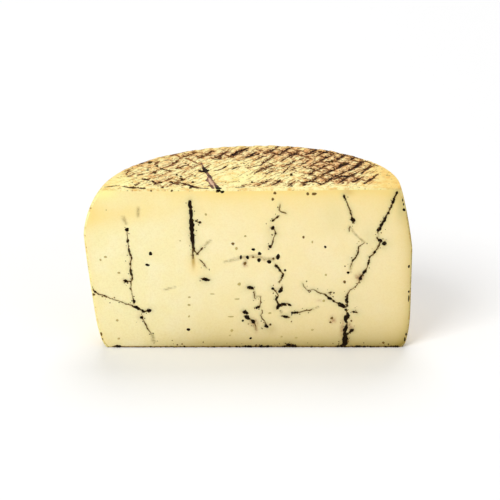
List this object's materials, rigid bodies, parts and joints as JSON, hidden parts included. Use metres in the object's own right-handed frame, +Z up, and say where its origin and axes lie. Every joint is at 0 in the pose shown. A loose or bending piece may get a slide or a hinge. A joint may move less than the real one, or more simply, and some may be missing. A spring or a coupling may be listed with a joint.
{
  "type": "half wheel of truffle cheese",
  "caption": "Half wheel of pressed pale cheese, cut face showing dark branching truffle veins, with a basket-marked rind and a flat base to stand on.",
  "frame": {"origin": "centre of the half wheel's box in plan, at the level of its flat base", "axes": "+Z up along the wheel's axis, +X along the cut face to the right as it is looked at, -Y out of the cut face"},
  "size_m": [0.231, 0.1152, 0.121],
  "materials": {
    "paste": "smooth knife-cut pressed cheese, slightly greasy",
    "rind": "dry yellow-brown rind with a basket imprint",
    "truffle": "moist black truffle"
  },
  "bodies": {
    "root": {"half_wheel": "paste"}
  },
  "joints": []
}
